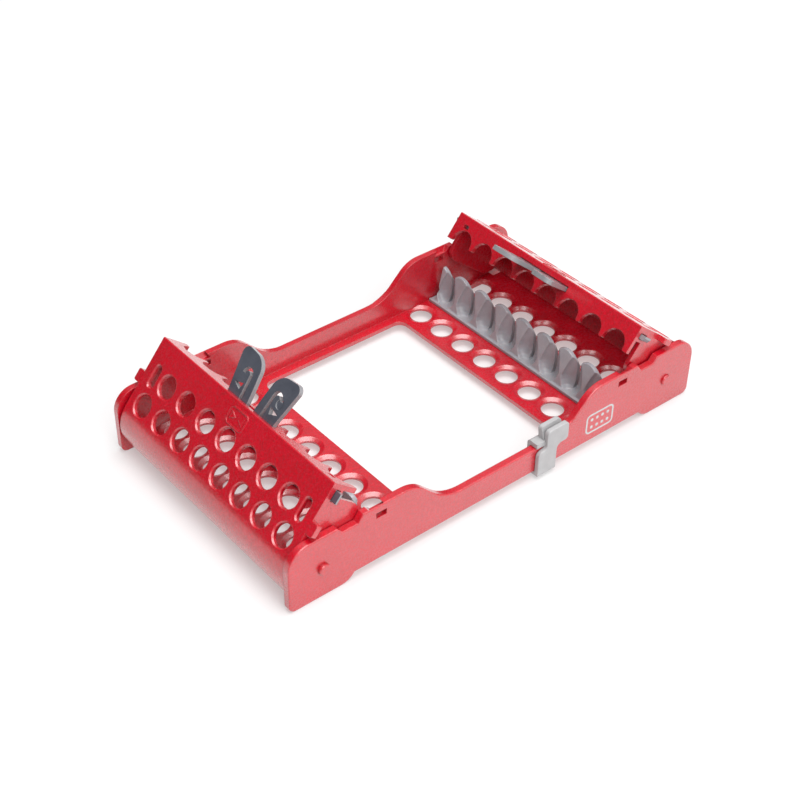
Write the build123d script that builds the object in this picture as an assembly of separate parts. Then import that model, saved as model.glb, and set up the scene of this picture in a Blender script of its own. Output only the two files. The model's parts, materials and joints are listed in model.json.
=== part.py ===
from build123d import *

import os
from math import cos, radians, sin

# Instrument cassette: an open frame, two hinged comb lids with sprung latches,
# two silicone rails and a clip on one rail.
# Millimetres. X runs along the cassette from its near end to its far end.
# Z is up, and Z = 0 is the table.
# A lid and what it carries are drawn closed in the lid's own frame: U inboard from the hinge pin,
# Y along the pin and V up. They are then turned open about the pin and moved to their end.

# ---- frame ----
LENGTH = 203.2                # over the side walls
WIDTH = 114.4                 # over the side walls' outer faces
WALL = 3.0                    # side wall thickness
HALF_LENGTH = LENGTH / 2
WALL_OUT = WIDTH / 2
WALL_IN = WALL_OUT - WALL
BASE_Z = 3.1                  # underside of rails and trays, clear of the table
TRAY_TOP = 4.9
RAIL_TOP = 14.3               # top of the low rail between the two ends
WALL_TOP = 28.7               # top of the wall beside the window
WALL_TOP_OUTER = 28.1         # top of the wall over the hinge
FOOT_LENGTH = 28.8            # from the wall's end to where the foot meets the rail
FOOT_CURVE = 5.7              # length of the rounded rise from the foot to the rail
END_CORNER_RADIUS = 9.0
TOE_RADIUS = 2.8
SWEEP_START = 51.5            # distance from the wall's end where the top begins to sweep down
SWEEP_CONVEX_RADIUS = 13.4
SWEEP_CONCAVE_RADIUS = 20.0
SWEEP_SLOPE = 44.0            # degrees
EDGE_ROUND = 0.5

WINDOW_HALF_LENGTH = 36.5
WINDOW_HALF_WIDTH = 50.4
WINDOW_CORNER = 4.0
TRAY_OUTER_END = 95.7         # top edge of the tray's outer end, just inside the lid's barrel
TRAY_END_BEVEL = 1.79         # just under the tray's full thickness
CAP_SLOT_START = 91.0         # from here out the tray is narrower, so that the lid's end caps can pass
CAP_SLOT_HALF_WIDTH = 51.2

# ---- drain holes in the trays: rows of eight, seven and eight at each end ----
PLACES = 8
HOLE_RADIUS = 4.77
HOLE_DISH_RADIUS = 6.6
HOLE_DISH_DEPTH = 0.9
DRAIN_ROWS = (                # distance from the middle, number of holes, pitch
    (46.2, PLACES, 13.82),
    (70.4, PLACES - 1, 13.5),
    (80.4, PLACES, 13.65),
)

# ---- hinge ----
HINGE_X = 86.6
HINGE_Z = 13.4
PIN_RADIUS = 2.35
PIN_CLEARANCE = 0.05
PIN_PROUD = 1.0
PIN_BEVEL = 0.4
NEAR_LID_OPEN = 50.0          # degrees, as the lids stand
FAR_LID_OPEN = 39.0
NEAR_LID_PLAY = 0.4           # the near lid stands this far to the right, within its end play

# ---- notch for the lid's lug, and the bolt's slot with its ramp, by distance from the hinge ----
NOTCH_BOTTOM_Z = 25.5
NOTCH_TOP_U = (6.6, 17.9)
NOTCH_BOTTOM_U = (9.0, 15.5)
SLOT_U = (23.6, 28.35)
SLOT_V = (9.85, 12.35)
RAMP_BOTTOM_Z = 26.6
RAMP_TOP_DEPTH = 2.65
RAMP_BOTTOM_DEPTH = 1.15
RAMP_BOTTOM_U = (22.6, 28.4)
RAMP_TOP_U = (19.4, 26.6)

# ---- lid ----
LID_HALF_WIDTH = 53.6
LID_RADIUS = 15.0             # outside of the barrel, about the pin
LID_SKIN = 2.0
LIP_ANGLE = 185.0             # where the barrel ends, in degrees round the pin
FLANGE_U = 30.6               # front face of the comb
CAP_THICKNESS = 1.7
CAP_FRONT_U = 25.3
CAP_BRIDGE_V = 8.6
CAP_BOTTOM_V = -5.5
CAP_CORNER = 6.0
CAP_INSET = 0.5               # the cap's edge stands this far inside the barrel's outer surface
LUG_U = (10.0, 15.1)
LUG_V = 12.6
LUG_REACH = 56.8
LUG_ROUND = 0.8
LID_PITCH = 13.0
LID_HOLE_RADIUS = 4.5
LID_HOLE_ROUND = 0.55
LID_LOWER_ROW_U = 4.1
LID_UPPER_ROW_U = 16.1
END_SLOT_Y = 47.6
END_SLOT_WIDTH = 3.2
END_SLOT_LENGTH = 9.2
SCALLOP_RADIUS = 5.5
SCALLOP_CENTRE_V = 3.6
TOOTH_TIP_V = 2.7
TOOTH_ROUND = 0.8
TAB_SLOT_HALF_WIDTH = 14.3
LIGHT_PORT_Y = -47.15
LIGHT_PORT_WIDTH = 2.9
LIGHT_PORT_V = (9.6, 11.3)
MARK_U = 24.9                 # middle of the raised squeeze mark
MARK_SIZE = (10.4, 7.0)
MARK_LINE = 0.55
MARK_CORNER = 1.6
MARK_HEIGHT = 0.3

# ---- latch ----
LATCH_V = (10.1, 12.1)
LATCH_BAR_U = (22.9, 28.25)
BOLT_U = (23.95, 28.0)
BOLT_ROOT_Y = 50.6
BOLT_TIP_Y = 56.1
BOLT_BEVEL_DEPTH = 0.8
BOLT_BEVEL_HEIGHT = 1.2
TAB_INNER_Y = 2.3
TAB_OUTER_Y = 13.95
TAB_TIP_U = 48.3
SLIT_WIDTH = 1.45
DIMPLE_RADIUS = 1.9
DIMPLE_DEPTH = 0.5

# ---- silicone rail ----
INSERT_FRONT_X = 55.1
INSERT_HALF_WIDTH = 54.0
INSERT_CROWN_HALF_WIDTH = 51.1  # above the base, clear of the lid's end caps
INSERT_LIP_Z = 6.4
INSERT_LIP_THICKNESS = 0.9
INSERT_GROOVE_Z = 5.6         # floor of the groove behind the lip
INSERT_FACE_X = 56.1          # the leaning front face at the height of the tray
INSERT_LEAN = 0.25            # how far the face moves back for each millimetre up
INSERT_BACK_FOOT = (63.6, 4.9)
INSERT_BACK_SHOULDER = (63.4, 17.0)
INSERT_BACK_TOP_X = 62.0
BACK_HOLLOW_X = 62.2          # deepest line of the hollow in each petal's back
BACK_HOLLOW_RADIUS = 9.6
BACK_HOLLOW_HALF_WIDTH = 5.2
BACK_HOLLOW_Z = (7.6, 19.6)
CRADLE_PITCH = 13.0
CRADLE_SLIT = 1.3
CRADLE_SLIT_FLOOR_Z = 6.6
CRADLE_FLOOR_X = 61.9         # the scoops stop short of the rail's back
CROWN_RADIUS = 6.1            # the rounded top of each petal
CROWN_CENTRE_Z = 16.05
SCOOP_LOW_Z = 10.5            # centre of the scoop's round bottom
SCOOP_LOW_RADIUS = 5.95
SCOOP_LOW_SETBACK = 2.25      # how far that centre stands in front of the leaning face
SCOOP_HIGH_Z = 22.5
SCOOP_HIGH_RADIUS = 2.4
SCOOP_HIGH_SETBACK = 0.6
PLUG_Y = (0.0, 26.0, 52.2)    # plugs at these distances either side of the middle
PLUG_X = 57.2
PLUG_RADIUS = 1.5
PLUG_TOP_Z = 5.4
PLUG_HEAD_RADIUS = 3.3
PLUG_HEAD_FOOT_RADIUS = 2.7
PLUG_HEAD_Z = (0.4, 2.4)      # underside and widest height of the head
PLUG_GAP = 0.08

# ---- rail clip ----
CLIP_GAP = 0.2
CLIP_SKIN = 1.9
CLIP_STEM_X = (14.8, 24.4)
CLIP_HEAD_X = (18.9, 30.1)
CLIP_BOTTOM_Z = 1.5
CLIP_SHOULDER_Z = 10.8        # where the stem begins to sweep over to the head
CLIP_NECK_Z = 13.2
CLIP_TOP_Z = 21.7
CLIP_CORNER = 1.8
CLIP_EDGE_ROUND = 0.4
CLIP_FINGER_X = (18.7, 28.9)
CLIP_FINGER_BASE_Y = (-57.3, -54.4)
CLIP_FINGER_TIP_Y = (-55.5, -53.7)
CLIP_FINGER_TOP_Z = 21.9
CLIP_FINGER_ROUND = 1.2
CLIP_SADDLE_TOP_Z = 16.6
CLIP_SADDLE_ROUND = 1.6
CLIP_LEG_BOTTOM_Z = 8.0
CLIP_LEG_SKIN = 1.5
CLIP_HOOK_REACH = 53.0

# The clip stands out on the right-hand side only, so the whole model is moved to centre its box.
CLIP_OUT = WALL_OUT + CLIP_GAP + CLIP_SKIN
Y_SHIFT = (CLIP_OUT - (WALL_OUT + PIN_PROUD)) / 2


# Cones are hung below the surface that they are cut from.
HANGING = (Align.CENTER, Align.CENTER, Align.MAX)


def slab(x_range, y_range, z_range):
    """A box between two limits on each axis."""
    sizes = [high - low for low, high in (x_range, y_range, z_range)]
    middles = [(high + low) / 2 for low, high in (x_range, y_range, z_range)]
    return Pos(*middles) * Box(*sizes)


def prism_xz(face, y_low, y_high):
    """Stretch a face drawn in X and Z between two Y values."""
    return Pos(0, y_high, 0) * extrude(Plane.XZ * face, y_high - y_low)


def from_end(distance):
    """X of a point given by its distance from the far end of the wall."""
    return HALF_LENGTH - distance


def spaced(count, pitch):
    """Evenly spaced positions, centred on zero."""
    return [(index - (count - 1) / 2) * pitch for index in range(count)]


# ---------------------------------------------------------------- frame

def wall_outline():
    """Half of the side wall's outline, from the middle of the rail to the far end."""
    slope = radians(SWEEP_SLOPE)
    crest = (from_end(SWEEP_START), WALL_TOP)
    crest_centre = (crest[0], WALL_TOP - SWEEP_CONVEX_RADIUS)
    slope_top = (
        crest_centre[0] - SWEEP_CONVEX_RADIUS * sin(slope),
        crest_centre[1] + SWEEP_CONVEX_RADIUS * cos(slope),
    )
    drop = slope_top[1] - RAIL_TOP - SWEEP_CONCAVE_RADIUS * (1 - cos(slope))
    slope_foot = (slope_top[0] - drop * cos(slope) / sin(slope), slope_top[1] - drop)
    hollow_centre_x = slope_foot[0] - SWEEP_CONCAVE_RADIUS * sin(slope)
    hollow_centre_z = RAIL_TOP + SWEEP_CONCAVE_RADIUS
    foot_x = from_end(FOOT_LENGTH)
    foot_flat_x = foot_x + FOOT_CURVE
    notch_top = [HINGE_X - u for u in NOTCH_TOP_U]
    notch_bottom = [HINGE_X - u for u in NOTCH_BOTTOM_U]
    shoulder_x = HALF_LENGTH - END_CORNER_RADIUS
    shoulder_z = WALL_TOP_OUTER - END_CORNER_RADIUS
    path = [
        Line((0, BASE_Z), (foot_x, BASE_Z)),
        TangentArc((foot_flat_x, 0), (foot_x, BASE_Z), tangent=(-1, 0)),
        Line((foot_flat_x, 0), (HALF_LENGTH - TOE_RADIUS, 0)),
        CenterArc((HALF_LENGTH - TOE_RADIUS, TOE_RADIUS), TOE_RADIUS, -90, 90),
        Line((HALF_LENGTH, TOE_RADIUS), (HALF_LENGTH, shoulder_z)),
        CenterArc((shoulder_x, shoulder_z), END_CORNER_RADIUS, 0, 90),
        Polyline(
            (shoulder_x, WALL_TOP_OUTER),
            (notch_top[0], WALL_TOP_OUTER),
            (notch_bottom[0], NOTCH_BOTTOM_Z),
            (notch_bottom[1], NOTCH_BOTTOM_Z),
            (notch_top[1], WALL_TOP),
            crest,
        ),
        CenterArc(crest_centre, SWEEP_CONVEX_RADIUS, 90, SWEEP_SLOPE),
        Line(slope_top, slope_foot),
        CenterArc(
            (hollow_centre_x, hollow_centre_z), SWEEP_CONCAVE_RADIUS, SWEEP_SLOPE - 90, -SWEEP_SLOPE
        ),
        Polyline((hollow_centre_x, RAIL_TOP), (0, RAIL_TOP), (0, BASE_Z)),
    ]
    return make_face(Curve() + path)


def side_wall():
    """The right-hand wall with its hinge holes, bolt slots and ramps, outer face at -Y."""
    half = wall_outline()
    outline = half + mirror(half, Plane.YZ)
    wall = prism_xz(outline, -WALL_OUT, -WALL_IN)
    wall = fillet(wall.faces().sort_by(Axis.Y)[0].edges(), EDGE_ROUND)
    for side in (-1, 1):
        hole = Rot(90, 0, 0) * Cylinder(PIN_RADIUS + PIN_CLEARANCE, 4 * WALL)
        wall -= Pos(side * HINGE_X, -WALL_OUT, HINGE_Z) * hole
        slot_x = sorted(side * (HINGE_X - u) for u in SLOT_U)
        slot_z = [HINGE_Z + v for v in SLOT_V]
        wall -= slab(slot_x, (-WALL_OUT - WALL, -WALL_IN + WALL), slot_z)
        wall -= bolt_ramp(side)
    return wall


def bolt_ramp(side):
    """The recess that leads a bolt down the wall's inner face to its slot."""
    sweep = make_face(
        Polyline(
            *[
                (side * (HINGE_X - u), z)
                for u, z in (
                    (RAMP_BOTTOM_U[0], RAMP_BOTTOM_Z),
                    (RAMP_BOTTOM_U[1], RAMP_BOTTOM_Z),
                    (RAMP_TOP_U[1], WALL_TOP + 1),
                    (RAMP_TOP_U[0], WALL_TOP + 1),
                )
            ],
            close=True,
        )
    )
    slope = (RAMP_TOP_DEPTH - RAMP_BOTTOM_DEPTH) / (WALL_TOP - RAMP_BOTTOM_Z)
    wedge = make_face(
        Polyline(
            (-WALL_IN + 1, RAMP_BOTTOM_Z),
            (-WALL_IN - RAMP_BOTTOM_DEPTH, RAMP_BOTTOM_Z),
            (-WALL_IN - RAMP_TOP_DEPTH - slope, WALL_TOP + 1),
            (-WALL_IN + 1, WALL_TOP + 1),
            close=True,
        )
    )
    cutter = Pos(-HALF_LENGTH, 0, 0) * extrude(Plane.YZ * wedge, LENGTH)
    return prism_xz(sweep, -WALL_IN - RAMP_TOP_DEPTH - 1, -WALL_IN + 1) & cutter


def drain_hole():
    """A tray hole with its shallow dish, drilled down from the tray's top at the origin."""
    dish = Cone(HOLE_RADIUS, HOLE_DISH_RADIUS, HOLE_DISH_DEPTH, align=HANGING)
    return dish + Cylinder(HOLE_RADIUS, 10)


def trays():
    """The floor at both ends and the narrow ledge along each rail, with the window between them."""
    half_width = WALL_IN + 0.5    # reaches into the walls so that all three join
    floor = slab((-TRAY_OUTER_END, TRAY_OUTER_END), (-half_width, half_width), (BASE_Z, TRAY_TOP))
    window = RectangleRounded(2 * WINDOW_HALF_LENGTH, 2 * WINDOW_HALF_WIDTH, WINDOW_CORNER)
    floor -= extrude(window, 10)
    lower_edges = floor.edges().filter_by(Axis.Y).group_by(Axis.Z)[0]
    outer_ends = [edge for edge in lower_edges if abs(edge.center().X) > CAP_SLOT_START]
    floor = chamfer(outer_ends, TRAY_END_BEVEL)
    drill = drain_hole()
    for side in (-1, 1):
        for hand in (-1, 1):
            slot_x = sorted((side * CAP_SLOT_START, side * HALF_LENGTH))
            slot_y = sorted((hand * CAP_SLOT_HALF_WIDTH, hand * (WALL_IN + 1)))
            floor -= slab(slot_x, slot_y, (0, WALL_TOP))
        for x, count, pitch in DRAIN_ROWS:
            for y in spaced(count, pitch):
                floor -= Pos(side * x, y, TRAY_TOP) * drill
        for y in plug_positions():
            floor -= Pos(side * PLUG_X, y, TRAY_TOP) * Cylinder(PLUG_RADIUS + PLUG_GAP, 10)
    return floor


def base_frame():
    """Both side walls and the trays as one moulding."""
    right = side_wall()
    left = mirror(right, Plane.XZ)
    return trays() + right + left


# ---------------------------------------------------------------- lid

def shell_outline():
    """The lid's section: barrel, top plate and comb flange."""
    inner = LID_RADIUS - LID_SKIN
    lip = radians(LIP_ANGLE)
    sweep = LIP_ANGLE - 90
    flange_back = FLANGE_U - LID_SKIN
    path = [
        CenterArc((0, 0), LID_RADIUS, 90, sweep),
        Line((LID_RADIUS * cos(lip), LID_RADIUS * sin(lip)), (inner * cos(lip), inner * sin(lip))),
        CenterArc((0, 0), inner, LIP_ANGLE, -sweep),
        Polyline(
            (0, inner),
            (flange_back, inner),
            (flange_back, TOOTH_TIP_V),
            (FLANGE_U, TOOTH_TIP_V),
            (FLANGE_U, LID_RADIUS),
            (0, LID_RADIUS),
        ),
    ]
    return make_face(Curve() + path)


def cap_outline():
    """An end cap, which fills the barrel's end and carries the hinge pin."""
    inner = LID_RADIUS - CAP_INSET
    lip = radians(LIP_ANGLE)
    flange_back = FLANGE_U - LID_SKIN / 2
    lip_point = (inner * cos(lip), inner * sin(lip))
    path = [
        CenterArc((0, 0), inner, 90, LIP_ANGLE - 90),
        Line(lip_point, (-8.0, 0)),
        ThreePointArc((-8.0, 0), (-5.6, -3.3), (0, -5.0)),
        Line((0, -5.0), (CAP_FRONT_U - CAP_CORNER, CAP_BOTTOM_V)),
        CenterArc((CAP_FRONT_U - CAP_CORNER, CAP_BOTTOM_V + CAP_CORNER), CAP_CORNER, -90, 90),
        Polyline(
            (CAP_FRONT_U, CAP_BOTTOM_V + CAP_CORNER),
            (CAP_FRONT_U, CAP_BRIDGE_V),
            (flange_back, CAP_BRIDGE_V),
            (flange_back, inner),
            (0, inner),
        ),
    ]
    return make_face(Curve() + path)


def comb_cuts():
    """The scallops between the comb's teeth."""
    flange_cut = FLANGE_U - 2 * LID_SKIN
    arch = Rot(0, 90, 0) * Cylinder(SCALLOP_RADIUS, 3 * LID_SKIN)
    below = (CAP_BOTTOM_V, SCALLOP_CENTRE_V)
    cutter = Pos(FLANGE_U, 0, SCALLOP_CENTRE_V) * arch
    cutter += slab((flange_cut, FLANGE_U + LID_SKIN), (-SCALLOP_RADIUS, SCALLOP_RADIUS), below)
    return [Pos(0, y, 0) * cutter for y in spaced(PLACES, LID_PITCH)]


def lid_hole():
    """A hole through the top plate with a rounded outer rim, at the origin of the plate's top."""
    rim = LID_HOLE_ROUND
    flare = Cone(LID_HOLE_RADIUS, LID_HOLE_RADIUS + rim, rim, align=HANGING)
    return flare + Cylinder(LID_HOLE_RADIUS, 6 * LID_SKIN)


def lid_end_slot():
    """The long hole at each end of the upper row."""
    rim = LID_HOLE_ROUND
    face = Rot(0, 0, 90) * SlotOverall(END_SLOT_LENGTH, END_SLOT_WIDTH)
    wide = Rot(0, 0, 90) * SlotOverall(END_SLOT_LENGTH + 2 * rim, END_SLOT_WIDTH + 2 * rim)
    flare = loft([Pos(0, 0, -rim) * face, wide])
    return Rot(0, 0, 90) * (flare + Pos(0, 0, -3 * LID_SKIN) * extrude(face, 6 * LID_SKIN))


def squeeze_mark():
    """A raised frame round two triangles that point at each other, over the finger tabs."""
    along, across = MARK_SIZE
    inside = RectangleRounded(across - 2 * MARK_LINE, along - 2 * MARK_LINE, MARK_CORNER - MARK_LINE)
    ring = RectangleRounded(across, along, MARK_CORNER) - inside
    arrow = make_face(Polyline((0, 0.8), (1.5, 3.6), (-1.5, 3.6), close=True))
    face = ring + arrow + mirror(arrow, Plane.XZ)
    return Pos(MARK_U, 0, LID_RADIUS - MARK_HEIGHT) * extrude(face, 2 * MARK_HEIGHT)


def lid():
    """A closed lid in its own frame."""
    body = prism_xz(shell_outline(), -LID_HALF_WIDTH, LID_HALF_WIDTH)
    ridge = body.edges().filter_by(Axis.Y).group_by(Axis.X)[-1].sort_by(Axis.Z)[-1]
    body = fillet(ridge, EDGE_ROUND)
    hole = lid_hole()
    for y in spaced(PLACES, LID_PITCH):
        body -= Pos(LID_LOWER_ROW_U, y, LID_RADIUS) * hole
    for y in spaced(PLACES - 1, LID_PITCH):
        body -= Pos(LID_UPPER_ROW_U, y, LID_RADIUS) * hole
    for cutter in comb_cuts():
        body -= cutter
    tips = [edge for edge in body.edges().filter_by(Axis.X) if abs(edge.center().Z - TOOTH_TIP_V) < 0.01]
    body = fillet([edge for edge in tips if abs(edge.center().Y) < LID_HALF_WIDTH - 1], TOOTH_ROUND)
    flange_cut = (FLANGE_U - 1.5 * LID_SKIN, FLANGE_U + 1)
    body -= slab(flange_cut, (-TAB_SLOT_HALF_WIDTH, TAB_SLOT_HALF_WIDTH), SLOT_V)
    port_y = (LIGHT_PORT_Y - LIGHT_PORT_WIDTH / 2, LIGHT_PORT_Y + LIGHT_PORT_WIDTH / 2)
    body -= slab(flange_cut, port_y, LIGHT_PORT_V)
    for side in (-1, 1):
        body -= Pos(LID_UPPER_ROW_U, side * END_SLOT_Y, LID_RADIUS) * lid_end_slot()
    body += squeeze_mark()
    return body + lid_end() + mirror(lid_end(), Plane.XZ)


def lid_end():
    """The right-hand end cap with its hinge pin, lug and bolt hole."""
    cap = prism_xz(cap_outline(), -LID_HALF_WIDTH, -LID_HALF_WIDTH + CAP_THICKNESS)
    cap -= slab(SLOT_U, (-LID_HALF_WIDTH - 1, -LID_HALF_WIDTH + 3), SLOT_V)
    pin_length = WALL_OUT + PIN_PROUD - LID_HALF_WIDTH + CAP_THICKNESS
    pin_middle = -(WALL_OUT + PIN_PROUD) + pin_length / 2
    pin = Pos(0, pin_middle, 0) * Rot(90, 0, 0) * Cylinder(PIN_RADIUS, pin_length)
    pin = chamfer(pin.faces().sort_by(Axis.Y)[0].edges(), PIN_BEVEL)
    lug = slab(LUG_U, (-LUG_REACH, -LID_HALF_WIDTH + 1), (LUG_V, LID_RADIUS))
    lug = fillet(lug.edges().filter_by(Axis.Z).group_by(Axis.Y)[0], LUG_ROUND)
    return cap + pin + lug


# ---------------------------------------------------------------- latch

def tab_outline():
    """The finger tab beyond the flange, with its leaning sides and rounded tip, drawn as (y, u)."""
    return make_face(
        Curve()
        + [
            Line((TAB_OUTER_Y, 27.0), (TAB_OUTER_Y, 31.0)),
            Line((TAB_OUTER_Y, 31.0), (16.9, 45.0)),
            ThreePointArc((16.9, 45.0), (16.2, 47.5), (13.7, TAB_TIP_U)),
            Line((13.7, TAB_TIP_U), (10.2, 48.0)),
            ThreePointArc((10.2, 48.0), (6.2, 46.4), (4.1, 43.0)),
            Polyline((4.1, 43.0), (3.1, 37.0), (TAB_INNER_Y, 31.0), (TAB_INNER_Y, 27.0)),
            Line((TAB_INNER_Y, 27.0), (TAB_OUTER_Y, 27.0)),
        ]
    )


def spring_slit():
    """The hooked slit that lets the tab flex."""
    hook_centre = (9.2, 39.5)
    hook_radius = 2.0
    start = (6.3, LATCH_BAR_U[1] + 0.6)
    bend = (hook_centre[0] - hook_radius, hook_centre[1])
    line = Line(start, bend) + CenterArc(hook_centre, hook_radius, 180, -185)
    return trace(line, SLIT_WIDTH)


def latch(side):
    """One latch, bolt towards +Y for side 1 and towards -Y for side -1."""
    bar = make_face(
        Polyline(
            (TAB_INNER_Y, LATCH_BAR_U[0]),
            (BOLT_ROOT_Y, LATCH_BAR_U[0]),
            (BOLT_ROOT_Y, BOLT_U[0]),
            (BOLT_TIP_Y, BOLT_U[0]),
            (BOLT_TIP_Y, BOLT_U[1]),
            (BOLT_ROOT_Y, BOLT_U[1]),
            (BOLT_ROOT_Y, LATCH_BAR_U[1]),
            (TAB_INNER_Y, LATCH_BAR_U[1]),
            close=True,
        )
    )
    window = make_face(Polyline((9.3, 33.0), (13.2, 34.6), (8.6, 35.9), close=True))
    face = bar + tab_outline() - spring_slit() - window
    plate = Pos(0, 0, LATCH_V[0]) * extrude(face, LATCH_V[1] - LATCH_V[0])
    # The bolt's underside is bevelled so that the ramp on the wall can push it in.
    bevel = make_face(
        Polyline(
            (BOLT_TIP_Y - BOLT_BEVEL_DEPTH, LATCH_V[0]),
            (BOLT_TIP_Y + 1, LATCH_V[0]),
            (BOLT_TIP_Y + 1, LATCH_V[0] + BOLT_BEVEL_HEIGHT),
            (BOLT_TIP_Y, LATCH_V[0] + BOLT_BEVEL_HEIGHT),
            close=True,
        )
    )
    plate -= prism_xz(bevel, 20, 32)
    if side < 0:
        plate -= Pos(11.7, 38.4, LATCH_V[1]) * Cylinder(DIMPLE_RADIUS, 2 * DIMPLE_DEPTH)
    # The outline above is drawn with X along the pin, so it is turned to put Y along the pin.
    turned = mirror(Rot(0, 0, 90) * plate, Plane.YZ)
    return turned if side > 0 else mirror(turned, Plane.XZ)


# ---------------------------------------------------------------- silicone rail

def plug_positions():
    return sorted({side * y for side in (-1, 1) for y in PLUG_Y})


def face_x(z):
    """X of the leaning face at a height."""
    return INSERT_FACE_X + (z - TRAY_TOP) * INSERT_LEAN


def insert_outline():
    """The silicone rail's section: lip, groove, leaning face and back."""
    top_z = CROWN_CENTRE_Z + CROWN_RADIUS
    lip_back = INSERT_FRONT_X + INSERT_LIP_THICKNESS
    return make_face(
        Polyline(
            (INSERT_FRONT_X, TRAY_TOP),
            (INSERT_FRONT_X, INSERT_LIP_Z),
            (lip_back, INSERT_LIP_Z),
            (lip_back, INSERT_GROOVE_Z),
            (face_x(INSERT_GROOVE_Z), INSERT_GROOVE_Z),
            (face_x(top_z), top_z),
            (INSERT_BACK_TOP_X, top_z),
            INSERT_BACK_SHOULDER,
            INSERT_BACK_FOOT,
            close=True,
        )
    )


def crown_cut(centre_y):
    """Everything above the rounded crown of the petal at centre_y."""
    height = 2 * CROWN_RADIUS
    face = Pos(centre_y, CROWN_CENTRE_Z + height / 2) * Rectangle(CRADLE_PITCH, height)
    face -= Pos(centre_y, CROWN_CENTRE_Z) * Circle(CROWN_RADIUS)
    return extrude(Plane.YZ * face, HALF_LENGTH)


def cradle():
    """The tapering scoop in front of each slit: narrow at the top and round at the bottom."""
    low = Vector(face_x(SCOOP_LOW_Z) - SCOOP_LOW_SETBACK, 0, SCOOP_LOW_Z)
    high = Vector(face_x(SCOOP_HIGH_Z) - SCOOP_HIGH_SETBACK, 0, SCOOP_HIGH_Z)
    cone = Cone(SCOOP_LOW_RADIUS, SCOOP_HIGH_RADIUS, (high - low).length)
    axis = Plane(origin=(low + high) * 0.5, z_dir=high - low)
    scoop = axis * cone + Pos(low) * Sphere(SCOOP_LOW_RADIUS)
    reach = slab(
        (INSERT_FRONT_X + INSERT_LIP_THICKNESS, CRADLE_FLOOR_X),
        (-CRADLE_PITCH / 2, CRADLE_PITCH / 2),
        (INSERT_GROOVE_Z, 2 * WALL_TOP),
    )
    return scoop & reach


def back_hollow():
    """The shallow hollow down the back of a petal."""
    low_z, high_z = BACK_HOLLOW_Z
    centre = Pos(BACK_HOLLOW_X + BACK_HOLLOW_RADIUS, 0, (low_z + high_z) / 2)
    width = (-BACK_HOLLOW_HALF_WIDTH, BACK_HOLLOW_HALF_WIDTH)
    hollow = centre * Cylinder(BACK_HOLLOW_RADIUS, high_z - low_z)
    return hollow & slab((0, HALF_LENGTH), width, BACK_HOLLOW_Z)


def through_petals(y_low, y_high):
    """A cut right through the petals, above the rail's base, between two places along it."""
    return slab(
        (INSERT_FRONT_X + INSERT_LIP_THICKNESS, HALF_LENGTH),
        (y_low, y_high),
        (CRADLE_SLIT_FLOOR_Z, 2 * WALL_TOP),
    )


def silicone_insert():
    """The rail at the far end."""
    body = prism_xz(insert_outline(), -INSERT_HALF_WIDTH, INSERT_HALF_WIDTH)
    body -= through_petals(INSERT_CROWN_HALF_WIDTH, INSERT_HALF_WIDTH + 1)
    body -= through_petals(-INSERT_HALF_WIDTH - 1, -INSERT_CROWN_HALF_WIDTH)
    hollow = back_hollow()
    for centre_y in spaced(PLACES + 1, CRADLE_PITCH):
        body -= crown_cut(centre_y)
        body -= Pos(0, centre_y, 0) * hollow
    scoop = cradle()
    for y in spaced(PLACES, CRADLE_PITCH):
        body -= Pos(0, y, 0) * scoop
        body -= through_petals(y - CRADLE_SLIT / 2, y + CRADLE_SLIT / 2)
    for y in plug_positions():
        body += Pos(PLUG_X, y, 0) * plug()
    return body


def plug():
    """A plug that snaps through the tray: a stem and a wider head below."""
    neck_z = BASE_Z - PLUG_GAP
    low_z, wide_z = PLUG_HEAD_Z
    section = make_face(
        Polyline(
            (0, PLUG_TOP_Z),
            (PLUG_RADIUS, PLUG_TOP_Z),
            (PLUG_RADIUS, neck_z),
            (PLUG_HEAD_RADIUS, wide_z),
            (PLUG_HEAD_FOOT_RADIUS, low_z),
            (0, low_z),
            close=True,
        )
    )
    return revolve(Plane.XZ * section, Axis.Z)


# ---------------------------------------------------------------- rail clip

def clip_face():
    """The clip's outer plate: a stem that sweeps over into a flag-shaped head."""
    stem_low, stem_high = CLIP_STEM_X
    head_low, head_high = CLIP_HEAD_X
    corner = CLIP_CORNER
    neck_foot = (stem_low, CLIP_SHOULDER_Z)
    neck_middle = (stem_low + 2.5, CLIP_NECK_Z)
    neck_head = (head_low, CLIP_NECK_Z + corner)
    return make_face(
        Curve()
        + [
            Polyline((stem_high, CLIP_SHOULDER_Z), (stem_high, CLIP_BOTTOM_Z), (stem_low, CLIP_BOTTOM_Z)),
            Line((stem_low, CLIP_BOTTOM_Z), neck_foot),
            ThreePointArc(neck_foot, (stem_low + 0.8, CLIP_NECK_Z - 0.7), neck_middle),
            ThreePointArc(neck_middle, (head_low - 0.5, CLIP_NECK_Z + 0.5), neck_head),
            Line(neck_head, (head_low, CLIP_TOP_Z - corner)),
            CenterArc((head_low + corner, CLIP_TOP_Z - corner), corner, 180, -90),
            Line((head_low + corner, CLIP_TOP_Z), (head_high - corner, CLIP_TOP_Z)),
            CenterArc((head_high - corner, CLIP_TOP_Z - corner), corner, 90, -90),
            Line((head_high, CLIP_TOP_Z - corner), (head_high, CLIP_NECK_Z + corner)),
            CenterArc((head_high - corner, CLIP_NECK_Z + corner), corner, 0, -90),
            Line((head_high - corner, CLIP_NECK_Z), (stem_high + 2.4, CLIP_NECK_Z)),
            CenterArc((stem_high + 2.4, CLIP_SHOULDER_Z), CLIP_NECK_Z - CLIP_SHOULDER_Z, 90, 90),
        ]
    )


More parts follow.
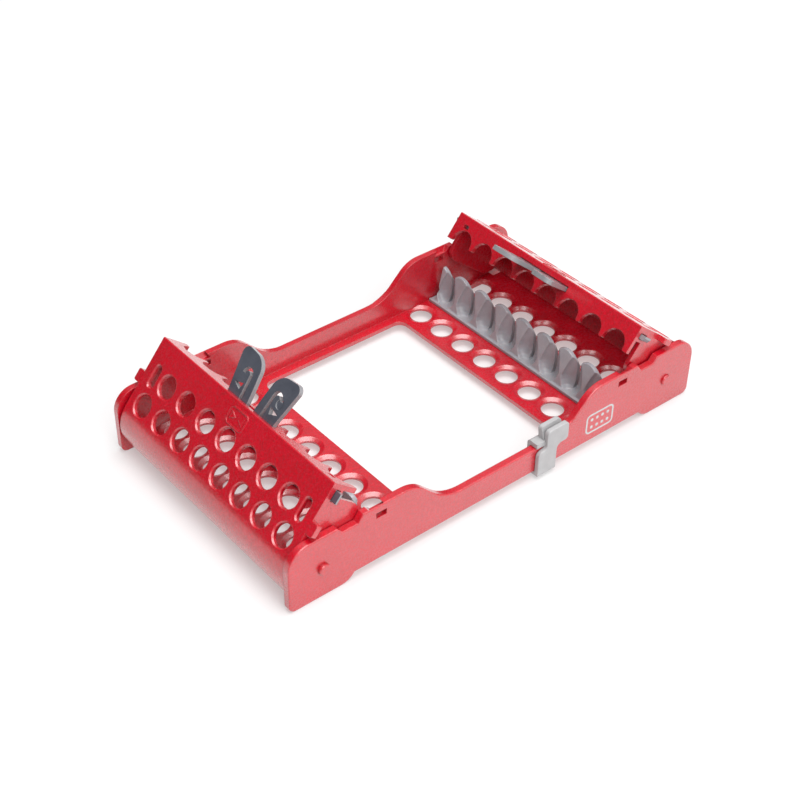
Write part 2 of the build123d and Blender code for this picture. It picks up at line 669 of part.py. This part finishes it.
def rail_clip():
    """The clip round the right-hand rail."""
    plate_in = -WALL_OUT - CLIP_GAP
    leg_out = -WALL_IN + CLIP_GAP
    leg_in = leg_out + CLIP_LEG_SKIN
    plate = prism_xz(clip_face(), plate_in - CLIP_SKIN, plate_in)
    plate = fillet(plate.faces().sort_by(Axis.Y)[0].edges(), CLIP_EDGE_ROUND)
    hook = slab(CLIP_STEM_X, (plate_in - 0.5, -CLIP_HOOK_REACH), (CLIP_BOTTOM_Z, BASE_Z - CLIP_GAP))
    saddle = slab(CLIP_STEM_X, (plate_in - 0.5, leg_in), (RAIL_TOP + CLIP_GAP, CLIP_SADDLE_TOP_Z))
    saddle += slab(CLIP_STEM_X, (leg_out, leg_in), (CLIP_LEG_BOTTOM_Z, RAIL_TOP + 1))
    inner_edge = saddle.edges().filter_by(Axis.X).group_by(Axis.Z)[-1].sort_by(Axis.Y)[-1]
    saddle = fillet(inner_edge, CLIP_SADDLE_ROUND)
    return plate + hook + saddle + clip_finger()


def clip_finger():
    """The upright that stands behind the clip's head and leans towards it."""
    base_z = CLIP_SADDLE_TOP_Z - CLIP_EDGE_ROUND
    finger_low, finger_high = CLIP_FINGER_BASE_Y, CLIP_FINGER_TIP_Y
    section = make_face(
        Polyline(
            (finger_low[0], base_z),
            (finger_high[0], CLIP_FINGER_TOP_Z),
            (finger_high[1], CLIP_FINGER_TOP_Z),
            (finger_low[1], base_z),
            close=True,
        )
    )
    low_x, high_x = CLIP_FINGER_X
    finger = Pos(low_x, 0, 0) * extrude(Plane.YZ * section, high_x - low_x)
    top_corners = finger.edges().filter_by(Axis.Y).group_by(Axis.Z)[-1]
    return fillet(top_corners, CLIP_FINGER_ROUND)


# ---------------------------------------------------------------- assembly

def at_near_end(shape):
    """Place a closed lid, or what it carries, open at the near end."""
    return Pos(-HINGE_X, -NEAR_LID_PLAY, HINGE_Z) * Rot(0, -NEAR_LID_OPEN, 0) * shape


def at_far_end(shape):
    """Place a closed lid, or what it carries, open at the far end."""
    return Pos(HINGE_X, 0, HINGE_Z) * Rot(0, FAR_LID_OPEN, 0) * Rot(0, 0, 180) * shape


def assembly():
    """Every piece by node name, before the shift to the origin."""
    closed_lid = lid()
    latch_plus = latch(1)
    latch_minus = latch(-1)
    far_insert = silicone_insert()
    return {
        "base_frame": base_frame(),
        "lid_near": at_near_end(closed_lid),
        "lid_far": at_far_end(closed_lid),
        "latch_near_left": at_near_end(latch_plus),
        "latch_near_right": at_near_end(latch_minus),
        "latch_far_left": at_far_end(latch_minus),
        "latch_far_right": at_far_end(latch_plus),
        "insert_near": mirror(far_insert, Plane.YZ),
        "insert_far": far_insert,
        "rail_clip": rail_clip(),
    }


os.makedirs("parts", exist_ok=True)
for node, shape in assembly().items():
    export_step(Pos(0, Y_SHIFT, 0) * shape, f"parts/{node}.step")
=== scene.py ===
import json
import math

import bmesh
import bpy
import numpy as np
from mathutils import Matrix, Vector


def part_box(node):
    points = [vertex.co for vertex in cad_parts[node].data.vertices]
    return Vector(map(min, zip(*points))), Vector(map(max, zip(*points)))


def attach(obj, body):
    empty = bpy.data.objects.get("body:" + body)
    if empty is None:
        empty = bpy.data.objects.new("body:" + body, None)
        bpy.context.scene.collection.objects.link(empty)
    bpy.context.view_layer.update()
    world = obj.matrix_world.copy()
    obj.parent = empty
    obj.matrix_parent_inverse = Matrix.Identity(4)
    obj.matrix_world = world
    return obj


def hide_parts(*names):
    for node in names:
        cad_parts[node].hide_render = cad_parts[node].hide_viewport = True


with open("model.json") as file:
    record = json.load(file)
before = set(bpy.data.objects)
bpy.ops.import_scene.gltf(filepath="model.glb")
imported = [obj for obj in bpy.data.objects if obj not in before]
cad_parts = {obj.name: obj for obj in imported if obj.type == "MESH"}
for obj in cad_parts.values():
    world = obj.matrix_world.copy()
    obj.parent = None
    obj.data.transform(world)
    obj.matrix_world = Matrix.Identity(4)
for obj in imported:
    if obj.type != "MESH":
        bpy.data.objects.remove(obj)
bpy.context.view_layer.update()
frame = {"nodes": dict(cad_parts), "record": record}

MM = 0.001

# ---- how far the lids stand open in the CAD, in degrees ----
NEAR_LID_OPEN = 50.0
FAR_LID_OPEN = 39.0

# ---- the silicone rail, in millimetres; X is measured towards the end of the cassette ----
LIP_FRONT_X = 55.2
LIP_BACK_X = 56.1
LIP_TOP_Z = 6.4
BASE_Z = 4.92
HALF_WIDTH = 53.9
CROWN_HALF_WIDTH = 51.0
FACE_X = 56.1                # the leaning front face at BASE_Z
FACE_LEAN = 0.25             # how far it moves back for each millimetre up
BACK_HEIGHTS = (4.9, 13.0, 22.2)
BACK_XS = (63.6, 62.5, 62.0)
RIB_DEPTH = 1.5              # how far the rail's back stands out in a rib beside each slit
RIB_TOP_Z = 19.0
RIB_FADES = (3.0, 4.0)       # heights over which a rib fades out at its top and its foot
CROWN_RADIUS = 6.05          # the rounded top of each petal
CROWN_CENTRE_Z = 16.1
CROWN_Z = CROWN_CENTRE_Z + CROWN_RADIUS
SHOULDER_Z = 6.2             # the slits end here
PITCH = 13.0
PLACES = 8
SLIT_TOP_WIDTH = 1.9
SLIT_FOOT_WIDTH = 1.3
THINNEST = 0.6               # least thickness of a petal behind its scoops
OVERLAP = 0.6                # how far the pieces of the rail run into each other before they are merged
WEB_BACK_X = 57.1            # the thin web under the groove behind the lip
SCOOP_HEIGHTS = (5.3, 6.1, 7.3, 9.4, 11.0, 13.2, 17.0, 21.0, 22.5)
SCOOP_HALF_WIDTHS = (0.0, 2.6, 4.1, 5.3, 5.6, 5.2, 4.1, 2.5, 1.9)
SCOOP_DEPTHS = (0.0, 3.0, 3.9, 4.1, 4.0, 3.5, 2.7, 1.7, 1.4)
PLUG_X = 57.2
PLUG_YS = (-52.2, -26.0, 0.0, 26.0, 52.2)
PLUG_OUTLINE = ((2.7, 0.4), (3.2, 0.9), (3.3, 2.2), (2.9, 2.8), (1.5, 3.0), (1.5, 5.4))
BASE_GRID = (420, 9)         # points along and up each piece of the rail
PETAL_GRID = (45, 50)
END_PETAL_GRID = (24, 50)
VOXEL = 0.24                 # cell size when the pieces are merged into one skin
SMOOTH_PASSES = 2

# ---- the printed mark on the right-hand wall, in millimetres ----
MARK_CENTRE = (49.4, 11.6)   # x and z
MARK_SIZE = (15.0, 9.6)
MARK_CORNER = 2.2
MARK_LINE = 0.8
MARK_DOT = 0.75              # radius
MARK_DOT_HOLE = 0.02         # each dot's film closes to this fraction of its size, at its middle
MARK_DOT_STEPS = (2.9, 3.6)
MARK_PROUD = 0.05

# ---- camera, in metres ----
CAMERA_PLACE = (-0.31324, -0.36938, 0.39668)
CAMERA_AIM = (0.0, 0.00695, 0.0059)
CAMERA_LENS = 69.65
CAMERA_ROLL = 0.85           # degrees

# ---- studio, in metres and watts ----
BRIGHT_SIDE = (0.25, -0.48, 0.75)
SKY_GLOW = ((-0.5, 0.03), (0.05, 0.08), (0.35, 0.34), (0.68, 0.95), (1.0, 1.2))
SKY_PEAK = 1.25
TOP_PLACE = (0.12, -0.12, 3.2)
TOP_SIZE = 2.3
TOP_POWER = 76.0
SIDE_PLACE = (-0.14, -0.46, 0.42)
SIDE_SIZE = 0.35
SIDE_POWER = 1.25
FLOOR_HALF_SIZE = 4.0
FLOOR_DROP = 0.0002          # keeps the floor clear of the feet's undersides
FLOOR_GREY = 0.48
FLOOR_GLOW = 0.38            # the floor is a lit sweep, so the shade under the object stays pale


# ---------------------------------------------------------------- objects

def mesh_object(name, mesh):
    """An object in the scene made from a bmesh, which is freed."""
    data = bpy.data.meshes.new(name)
    mesh.to_mesh(data)
    mesh.free()
    piece = bpy.data.objects.new(name, data)
    bpy.context.scene.collection.objects.link(piece)
    return piece


# ---------------------------------------------------------------- shader helpers

def new_material(name):
    """A material with only a Principled shader, and its node tree and shader."""
    material = bpy.data.materials.new(name)
    material.use_nodes = True
    tree = material.node_tree
    shader = tree.nodes["Principled BSDF"]
    return material, tree, shader


def noise(tree, scale, detail=3.0, rough=0.5):
    """A noise texture in the object's own coordinates."""
    coords = tree.nodes.new("ShaderNodeTexCoord")
    node = tree.nodes.new("ShaderNodeTexNoise")
    node.inputs["Scale"].default_value = scale
    node.inputs["Detail"].default_value = detail
    node.inputs["Roughness"].default_value = rough
    tree.links.new(coords.outputs["Object"], node.inputs["Vector"])
    return node.outputs["Fac"]


def ramp(tree, value, stops):
    """A colour ramp over a value; each stop is (position, colour)."""
    node = tree.nodes.new("ShaderNodeValToRGB")
    elements = node.color_ramp.elements
    while len(elements) < len(stops):
        elements.new(0.5)
    for element, (position, colour) in zip(elements, stops):
        element.position = position
        element.color = (*colour, 1.0)
    tree.links.new(value, node.inputs["Fac"])
    return node.outputs["Color"]


def spread(tree, value, low, high, start=0.3, end=0.7):
    """Map part of a noise value's reach, by default its useful middle, to a range."""
    node = tree.nodes.new("ShaderNodeMapRange")
    node.inputs["From Min"].default_value = start
    node.inputs["From Max"].default_value = end
    node.inputs["To Min"].default_value = low
    node.inputs["To Max"].default_value = high
    tree.links.new(value, node.inputs["Value"])
    return node.outputs["Result"]


def mix(tree, factor, colour, other):
    """Blend a linked colour towards a plain one."""
    node = tree.nodes.new("ShaderNodeMix")
    node.data_type = "RGBA"
    tree.links.new(factor, node.inputs["Factor"])
    tree.links.new(colour, node.inputs["A"])
    node.inputs["B"].default_value = (*other, 1.0)
    return node.outputs["Result"]


def grain(tree, shader, layers, edge=0.0):
    """Bump from several noises, each (value, height in metres), over edges rounded by `edge` metres."""
    normal = None
    if edge:
        bevel = tree.nodes.new("ShaderNodeBevel")
        bevel.samples = 6
        bevel.inputs["Radius"].default_value = edge
        normal = bevel.outputs["Normal"]
    for value, height in layers:
        bump = tree.nodes.new("ShaderNodeBump")
        bump.inputs["Strength"].default_value = 1.0
        bump.inputs["Distance"].default_value = height
        tree.links.new(value, bump.inputs["Height"])
        if normal:
            tree.links.new(normal, bump.inputs["Normal"])
        normal = bump.outputs["Normal"]
    tree.links.new(normal, shader.inputs["Normal"])


def edge_faces(tree, plate_tilt):
    """One on the narrow faces round a flat plate and nought on its two broad faces."""
    tilt = math.radians(plate_tilt)
    coords = tree.nodes.new("ShaderNodeTexCoord")
    across = tree.nodes.new("ShaderNodeVectorMath")
    across.operation = "DOT_PRODUCT"
    across.inputs[1].default_value = (math.sin(tilt), 0.0, math.cos(tilt))
    tree.links.new(coords.outputs["Normal"], across.inputs[0])
    steep = tree.nodes.new("ShaderNodeMath")
    steep.operation = "ABSOLUTE"
    tree.links.new(across.outputs["Value"], steep.inputs[0])
    return ramp(tree, steep.outputs["Value"], [(0.35, (1.0,) * 3), (0.6, (0.0,) * 3)])


# ---------------------------------------------------------------- materials

def red_plastic():
    """Satin red moulded plastic: faint flow marks, a fine mould texture and slight wear."""
    material, tree, shader = new_material("red_plastic")
    flow = noise(tree, 45.0, 4.0, 0.6)
    dust = noise(tree, 1700.0, 3.0, 0.8)
    speck = noise(tree, 900.0, 2.0, 0.7)
    colour = ramp(tree, flow, [(0.3, (0.57, 0.001, 0.012)), (0.7, (0.67, 0.002, 0.019))])
    mottled = mix(tree, spread(tree, speck, 0.0, 0.60), colour, (0.28, 0.001, 0.005))
    dusty = mix(tree, spread(tree, dust, 0.0, 0.40, 0.52, 0.75), mottled, (0.66, 0.08, 0.13))
    tree.links.new(dusty, shader.inputs["Base Color"])
    tree.links.new(spread(tree, speck, 0.20, 0.36), shader.inputs["Roughness"])
    shader.inputs["IOR"].default_value = 1.65
    shader.inputs["Coat Weight"].default_value = 0.85
    shader.inputs["Coat Roughness"].default_value = 0.18
    shader.inputs["Coat IOR"].default_value = 1.6
    grain(tree, shader, [(dust, 0.00006), (speck, 0.00008), (flow, 0.00025)], edge=0.0005)
    return material


def slate_plastic(name, plate_tilt):
    """Matte slate-grey latch plastic with a fine grain, with a painted highlight: the plate's narrow edge
    faces are painted paler grey.

    plate_tilt is the turn of the plate about the frame's Y axis, in degrees, as the lid stands.
    """
    material, tree, shader = new_material(name)
    cloud = noise(tree, 160.0, 4.0, 0.6)
    speck = noise(tree, 1500.0, 2.0, 0.7)
    colour = ramp(tree, cloud, [(0.3, (0.060, 0.066, 0.086)), (0.7, (0.084, 0.091, 0.114))])
    # painted highlight: the narrow faces round the plate are mixed towards pale grey, standing in for the
    # light they catch
    painted_edge_highlight = mix(tree, edge_faces(tree, plate_tilt), colour, (0.26, 0.26, 0.275))
    tree.links.new(painted_edge_highlight, shader.inputs["Base Color"])
    tree.links.new(spread(tree, speck, 0.28, 0.40), shader.inputs["Roughness"])
    shader.inputs["IOR"].default_value = 1.6
    shader.inputs["Coat Weight"].default_value = 0.8
    shader.inputs["Coat Roughness"].default_value = 0.25
    grain(tree, shader, [(speck, 0.00004)], edge=0.0003)
    return material


def grey_silicone():
    """Soft grey silicone with a dusty sheen."""
    material, tree, shader = new_material("grey_silicone")
    cloud = noise(tree, 120.0, 5.0, 0.6)
    speck = noise(tree, 2200.0, 2.0, 0.6)
    colour = ramp(tree, cloud, [(0.3, (0.292, 0.283, 0.306)), (0.7, (0.362, 0.352, 0.378))])
    tree.links.new(colour, shader.inputs["Base Color"])
    tree.links.new(spread(tree, speck, 0.18, 0.30), shader.inputs["Roughness"])
    shader.inputs["Sheen Weight"].default_value = 0.10
    shader.inputs["Sheen Roughness"].default_value = 0.5
    shader.inputs["Subsurface Weight"].default_value = 0.08
    shader.inputs["Subsurface Scale"].default_value = 0.001
    grain(tree, shader, [(speck, 0.00003)])
    return material


def pale_plastic():
    """Light grey clip plastic."""
    material, tree, shader = new_material("pale_plastic")
    cloud = noise(tree, 220.0, 4.0, 0.6)
    speck = noise(tree, 1800.0, 2.0, 0.6)
    colour = ramp(tree, cloud, [(0.3, (0.38, 0.375, 0.38)), (0.7, (0.45, 0.445, 0.45))])
    tree.links.new(colour, shader.inputs["Base Color"])
    tree.links.new(spread(tree, speck, 0.35, 0.50), shader.inputs["Roughness"])
    grain(tree, shader, [(speck, 0.00003)], edge=0.0004)
    return material


def white_ink():
    """Pad-printed white ink, a little uneven."""
    material, tree, shader = new_material("white_ink")
    cloud = noise(tree, 700.0, 3.0, 0.6)
    colour = ramp(tree, cloud, [(0.3, (0.52, 0.54, 0.54)), (0.7, (0.62, 0.64, 0.64))])
    tree.links.new(colour, shader.inputs["Base Color"])
    tree.links.new(spread(tree, cloud, 0.45, 0.60), shader.inputs["Roughness"])
    grain(tree, shader, [(cloud, 0.00002)])
    return material


# ---------------------------------------------------------------- the silicone rail

def petal_offset(y):
    """Distance along the rail from the middle of the nearest petal."""
    phase = np.abs(y) % PITCH
    return np.minimum(phase, PITCH - phase)


def crown_height(y):
    """Top of the rail: a rounded arch over each petal."""
    return CROWN_CENTRE_Z + np.sqrt(np.clip(CROWN_RADIUS ** 2 - petal_offset(y) ** 2, 0, None))


def front_x(y, z):
    """Front surface of the rail: the leaning face with a tapering scoop round each slit."""
    offset = PITCH / 2 - petal_offset(y)
    half_width = np.interp(z, SCOOP_HEIGHTS, SCOOP_HALF_WIDTHS)
    depth = np.interp(z, SCOOP_HEIGHTS, SCOOP_DEPTHS)
    inside = np.sqrt(np.clip(1 - (offset / np.maximum(half_width, 0.01)) ** 2, 0, 1))
    return FACE_X + (z - BASE_Z) * FACE_LEAN + depth * inside


def back_x(y, z):
    """Back surface of the rail: each petal is hollow, between the ribs beside its slits."""
    rib = np.clip(petal_offset(y) / CROWN_RADIUS, 0, 1) ** 2
    top_fade, foot_fade = RIB_FADES
    fade = np.clip((RIB_TOP_Z - z) / top_fade, 0, 1) * np.clip((z - BASE_Z) / foot_fade, 0, 1)
    return np.interp(z, BACK_HEIGHTS, BACK_XS) + RIB_DEPTH * rib * fade


def shell(mesh, front, back):
    """Add a closed shell between two grids of points of the same shape."""
    rows, columns = front.shape[:2]
    grids = []
    for grid in (front, back):
        grids.append([[mesh.verts.new(Vector(point) * MM) for point in row] for row in grid])
    near, far = grids
    for i in range(rows - 1):
        for j in range(columns - 1):
            mesh.faces.new((near[i][j], near[i][j + 1], near[i + 1][j + 1], near[i + 1][j]))
            mesh.faces.new((far[i][j], far[i + 1][j], far[i + 1][j + 1], far[i][j + 1]))
    for j in range(columns - 1):
        mesh.faces.new((near[0][j], far[0][j], far[0][j + 1], near[0][j + 1]))
        mesh.faces.new((near[-1][j], near[-1][j + 1], far[-1][j + 1], far[-1][j]))
    for i in range(rows - 1):
        mesh.faces.new((near[i][0], near[i + 1][0], far[i + 1][0], far[i][0]))
        mesh.faces.new((near[i][-1], far[i][-1], far[i + 1][-1], near[i + 1][-1]))


def half_slit(z):
    """Half the width of a slit at a height."""
    return 0.5 * np.interp(z, (SHOULDER_Z, CROWN_Z), (SLIT_FOOT_WIDTH, SLIT_TOP_WIDTH))


def slab_between(mesh, y_low, y_high, z_low, z_high, grid):
    """A piece of the rail. Its y limits are functions of height, and its top is a function of y."""
    columns, rows = grid
    front = np.zeros((rows, columns, 3))
    for i, up in enumerate(np.linspace(0, 1, rows)):
        for j, along in enumerate(np.linspace(0, 1, columns)):
            height_guess = z_low + up * (CROWN_Z - z_low)
            y = y_low(height_guess) + along * (y_high(height_guess) - y_low(height_guess))
            z = z_low + up * (z_high(y) - z_low)
            front[i, j] = (0, y, z)
    back = front.copy()
    front[..., 0] = front_x(front[..., 1], front[..., 2])
    back[..., 0] = back_x(back[..., 1], back[..., 2])
    front[..., 0] = np.minimum(front[..., 0], back[..., 0] - THINNEST)
    shell(mesh, front, back)


def lathe(mesh, centre, profile, steps=24):
    """A turned solid about a vertical axis from (radius, z) points, closed at both ends."""
    rings = []
    for radius, z in profile:
        angles = [2 * math.pi * k / steps for k in range(steps)]
        ring = [(centre[0] + radius * math.cos(a), centre[1] + radius * math.sin(a), z) for a in angles]
        rings.append([mesh.verts.new(Vector(point) * MM) for point in ring])
    for low, high in zip(rings, rings[1:]):
        for k in range(steps):
            following = (k + 1) % steps
            mesh.faces.new((low[k], low[following], high[following], high[k]))
    mesh.faces.new(list(reversed(rings[0])))
    mesh.faces.new(rings[-1])


def add_petal(mesh, y_low, y_high, grid):
    """A petal that stands in the rail's base and ends in its rounded crown."""
    slab_between(mesh, y_low, y_high, SHOULDER_Z - OVERLAP, crown_height, grid)


def add_petals(mesh):
    """The whole petals between neighbouring slits, and the part petal outside the last slit at each end."""
    slits = [(k - (PLACES - 1) / 2) * PITCH for k in range(PLACES)]
    for low, high in zip(slits, slits[1:]):
        add_petal(
            mesh,
            lambda z, low=low: low + half_slit(z),
            lambda z, high=high: high - half_slit(z),
            PETAL_GRID,
        )
    outer = slits[-1]
    add_petal(mesh, lambda z: outer + half_slit(z), lambda z: CROWN_HALF_WIDTH, END_PETAL_GRID)
    add_petal(mesh, lambda z: -CROWN_HALF_WIDTH, lambda z: -outer - half_slit(z), END_PETAL_GRID)


def add_strip(mesh, rear_x, top_z):
    """A plain strip along the whole rail, from the lip's front face back to rear_x."""
    ends = (-HALF_WIDTH, HALF_WIDTH)
    front = np.array([[(LIP_FRONT_X, y, z) for y in ends] for z in (BASE_Z, top_z)])
    rear = front.copy()
    rear[..., 0] = rear_x
    shell(mesh, front, rear)


def merge(piece):
    """Fuse a piece's overlapping shells into one smooth skin."""
    remesh = piece.modifiers.new("merge", "REMESH")
    remesh.mode = "VOXEL"
    remesh.voxel_size = VOXEL * MM
    remesh.use_smooth_shade = True
    smooth = piece.modifiers.new("soften", "SMOOTH")
    smooth.factor = 0.5
    smooth.iterations = SMOOTH_PASSES
    graph = bpy.context.evaluated_depsgraph_get()
    final = bpy.data.meshes.new_from_object(piece.evaluated_get(graph))
    piece.modifiers.clear()
    piece.data = final


def silicone_rail(name, end, material):
    """The detailed rail at one end: end is 1 for the far end and -1 for the near one."""
    mesh = bmesh.new()
    slab_between(
        mesh, lambda z: -HALF_WIDTH, lambda z: HALF_WIDTH, BASE_Z, lambda y: SHOULDER_Z, BASE_GRID
    )
    add_petals(mesh)
    add_strip(mesh, LIP_BACK_X, LIP_TOP_Z)
    add_strip(mesh, WEB_BACK_X, BASE_Z + OVERLAP)
    for y in PLUG_YS:
        lathe(mesh, (PLUG_X, y), PLUG_OUTLINE)
    bmesh.ops.recalc_face_normals(mesh, faces=mesh.faces[:])
    piece = mesh_object(name, mesh)
    merge(piece)
    y_shift = sum(corner[1] for corner in cad_insert_box(end)) / 2
    turn = Matrix.Scale(-1, 4, (1, 0, 0)) if end < 0 else Matrix.Identity(4)
    piece.data.transform(Matrix.Translation((0, y_shift, 0)) @ turn)
    if end < 0:
        piece.data.flip_normals()
    piece.data.materials.clear()
    piece.data.materials.append(material)
    return piece


def cad_insert_box(end):
    """The box of the plain CAD rail at one end."""
    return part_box("insert_far" if end > 0 else "insert_near")


# ---------------------------------------------------------------- the printed mark

def rounded_rectangle(size, corner, steps=8):
    """Points round a rectangle with rounded corners, centred on zero."""
    half_x, half_z = size[0] / 2 - corner, size[1] / 2 - corner
    points = []
    for quarter, (sign_x, sign_z) in enumerate(((1, 1), (-1, 1), (-1, -1), (1, -1))):
        for step in range(steps + 1):
            angle = math.radians(90 * (quarter + step / steps))
            x = sign_x * half_x + corner * math.cos(angle)
            z = sign_z * half_z + corner * math.sin(angle)
            points.append((x, z))
    return points


def ink_film(mesh, outline, inner, front_y, back_y):
    """A thin film between two outlines with the same number of (x, z) points."""
    loops = []
    for points, y in ((outline, front_y), (inner, front_y), (inner, back_y), (outline, back_y)):
        loops.append([mesh.verts.new(Vector((x, y, z)) * MM) for x, z in points])
    for loop, following in zip(loops, loops[1:] + loops[:1]):
        for k in range(len(loop)):
            after = (k + 1) % len(loop)
            mesh.faces.new((loop[k], loop[after], following[after], following[k]))


def moved(points, x, z):
    """Points shifted from the middle of the mark to their place on the wall."""
    return [(MARK_CENTRE[0] + x + px, MARK_CENTRE[1] + z + pz) for px, pz in points]


def printed_mark(name, material):
    """White pictogram of the eight places on the right-hand wall's outer face."""
    wall_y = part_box("base_frame")[0][1] / MM
    front_y, back_y = wall_y - MARK_PROUD, wall_y + MARK_PROUD
    mesh = bmesh.new()
    outline = rounded_rectangle(MARK_SIZE, MARK_CORNER)
    hole = rounded_rectangle([side - 2 * MARK_LINE for side in MARK_SIZE], MARK_CORNER - MARK_LINE)
    ink_film(mesh, moved(outline, 0, 0), moved(hole, 0, 0), front_y, back_y)
    dot = rounded_rectangle((2 * MARK_DOT, 2 * MARK_DOT), MARK_DOT, 4)
    middle = [(MARK_DOT_HOLE * x, MARK_DOT_HOLE * z) for x, z in dot]
    for column in range(4):
        for row in range(2):
            x = (column - 1.5) * MARK_DOT_STEPS[0]
            z = (row - 0.5) * MARK_DOT_STEPS[1]
            ink_film(mesh, moved(dot, x, z), moved(middle, x, z), front_y, back_y)
    bmesh.ops.remove_doubles(mesh, verts=mesh.verts[:], dist=1e-7)
    bmesh.ops.recalc_face_normals(mesh, faces=mesh.faces[:])
    piece = mesh_object(name, mesh)
    piece.data.materials.append(material)
    return piece


# ---------------------------------------------------------------- camera, floor and light

def camera():
    """The photograph's view: a long lens looking down along the cassette from its near right corner."""
    place = Vector(CAMERA_PLACE)
    forward = (Vector(CAMERA_AIM) - place).normalized()
    data = bpy.data.cameras.new("camera")
    data.lens = CAMERA_LENS
    data.sensor_width = 36.0
    data.clip_start = 0.01
    piece = bpy.data.objects.new("camera", data)
    level = forward.to_track_quat("-Z", "Y").to_matrix().to_4x4()
    roll = Matrix.Rotation(math.radians(CAMERA_ROLL), 4, "Z")
    piece.matrix_world = Matrix.Translation(place) @ level @ roll
    bpy.context.scene.collection.objects.link(piece)
    bpy.context.scene.camera = piece


def floor():
    """A plain white floor that glows a little."""
    mesh = bmesh.new()
    bmesh.ops.create_grid(mesh, x_segments=1, y_segments=1, size=FLOOR_HALF_SIZE)
    piece = mesh_object("floor", mesh)
    piece.location.z = -FLOOR_DROP
    material, tree, shader = new_material("floor")
    shader.inputs["Base Color"].default_value = (FLOOR_GREY, FLOOR_GREY, FLOOR_GREY, 1.0)
    shader.inputs["Roughness"].default_value = 0.6
    shader.inputs["Emission Color"].default_value = (1.0, 0.99, 0.99, 1.0)
    shader.inputs["Emission Strength"].default_value = FLOOR_GLOW
    piece.data.materials.append(material)


def area_light(name, place, size, power):
    """A square soft box aimed at the middle of the floor."""
    data = bpy.data.lights.new(name, "AREA")
    data.shape = "SQUARE"
    data.size = size
    data.energy = power
    piece = bpy.data.objects.new(name, data)
    facing = (-Vector(place)).to_track_quat("-Z", "Y").to_matrix().to_4x4()
    piece.matrix_world = Matrix.Translation(place) @ facing
    bpy.context.scene.collection.objects.link(piece)


def studio():
    """A studio that is bright above and to the front right, and dim to the back left."""
    scene = bpy.context.scene
    world = bpy.data.worlds.new("studio")
    world.use_nodes = True
    tree = world.node_tree
    background = tree.nodes["Background"]
    coords = tree.nodes.new("ShaderNodeTexCoord")
    towards = tree.nodes.new("ShaderNodeVectorMath")
    towards.operation = "DOT_PRODUCT"
    towards.inputs[1].default_value = Vector(BRIGHT_SIDE).normalized()
    tree.links.new(coords.outputs["Generated"], towards.inputs[0])
    level = tree.nodes.new("ShaderNodeMapRange")
    level.inputs["From Min"].default_value = -1.0
    tree.links.new(towards.outputs["Value"], level.inputs["Value"])
    stops = [((side + 1) / 2, (glow / SKY_PEAK,) * 3) for side, glow in SKY_GLOW]
    sky = ramp(tree, level.outputs["Result"], stops)
    tree.links.new(sky, background.inputs["Color"])
    background.inputs["Strength"].default_value = SKY_PEAK
    scene.world = world
    area_light("soft_box_top", TOP_PLACE, TOP_SIZE, TOP_POWER)
    area_light("soft_box_side", SIDE_PLACE, SIDE_SIZE, SIDE_POWER)
    scene.view_settings.view_transform = "Standard"
    scene.view_settings.look = "None"


# ---------------------------------------------------------------- assembly

MATERIALS = {
    "red_plastic": red_plastic(),
    "slate_plastic": slate_plastic("slate_plastic", -NEAR_LID_OPEN),
    "grey_silicone": grey_silicone(),
    "pale_plastic": pale_plastic(),
}
FAR_SLATE = slate_plastic("slate_plastic_far", FAR_LID_OPEN)


def dress_cad_nodes():
    """Give every CAD node its detailed material. The far latches lie at their own tilt."""
    slots = {part["node"]: part["material_slot"] for part in frame["record"]["subparts"]}
    for node, piece in frame["nodes"].items():
        for slot in piece.material_slots:
            slot.material = FAR_SLATE if node.startswith("latch_far") else MATERIALS[slots[node]]


dress_cad_nodes()
for name, end, node in (("silicone_rail_far", 1, "insert_far"), ("silicone_rail_near", -1, "insert_near")):
    rail = silicone_rail(name, end, MATERIALS["grey_silicone"])
    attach(rail, "frame")
    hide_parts(node)

mark = printed_mark("printed_mark", white_ink())
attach(mark, "frame")

camera()
floor()
studio()
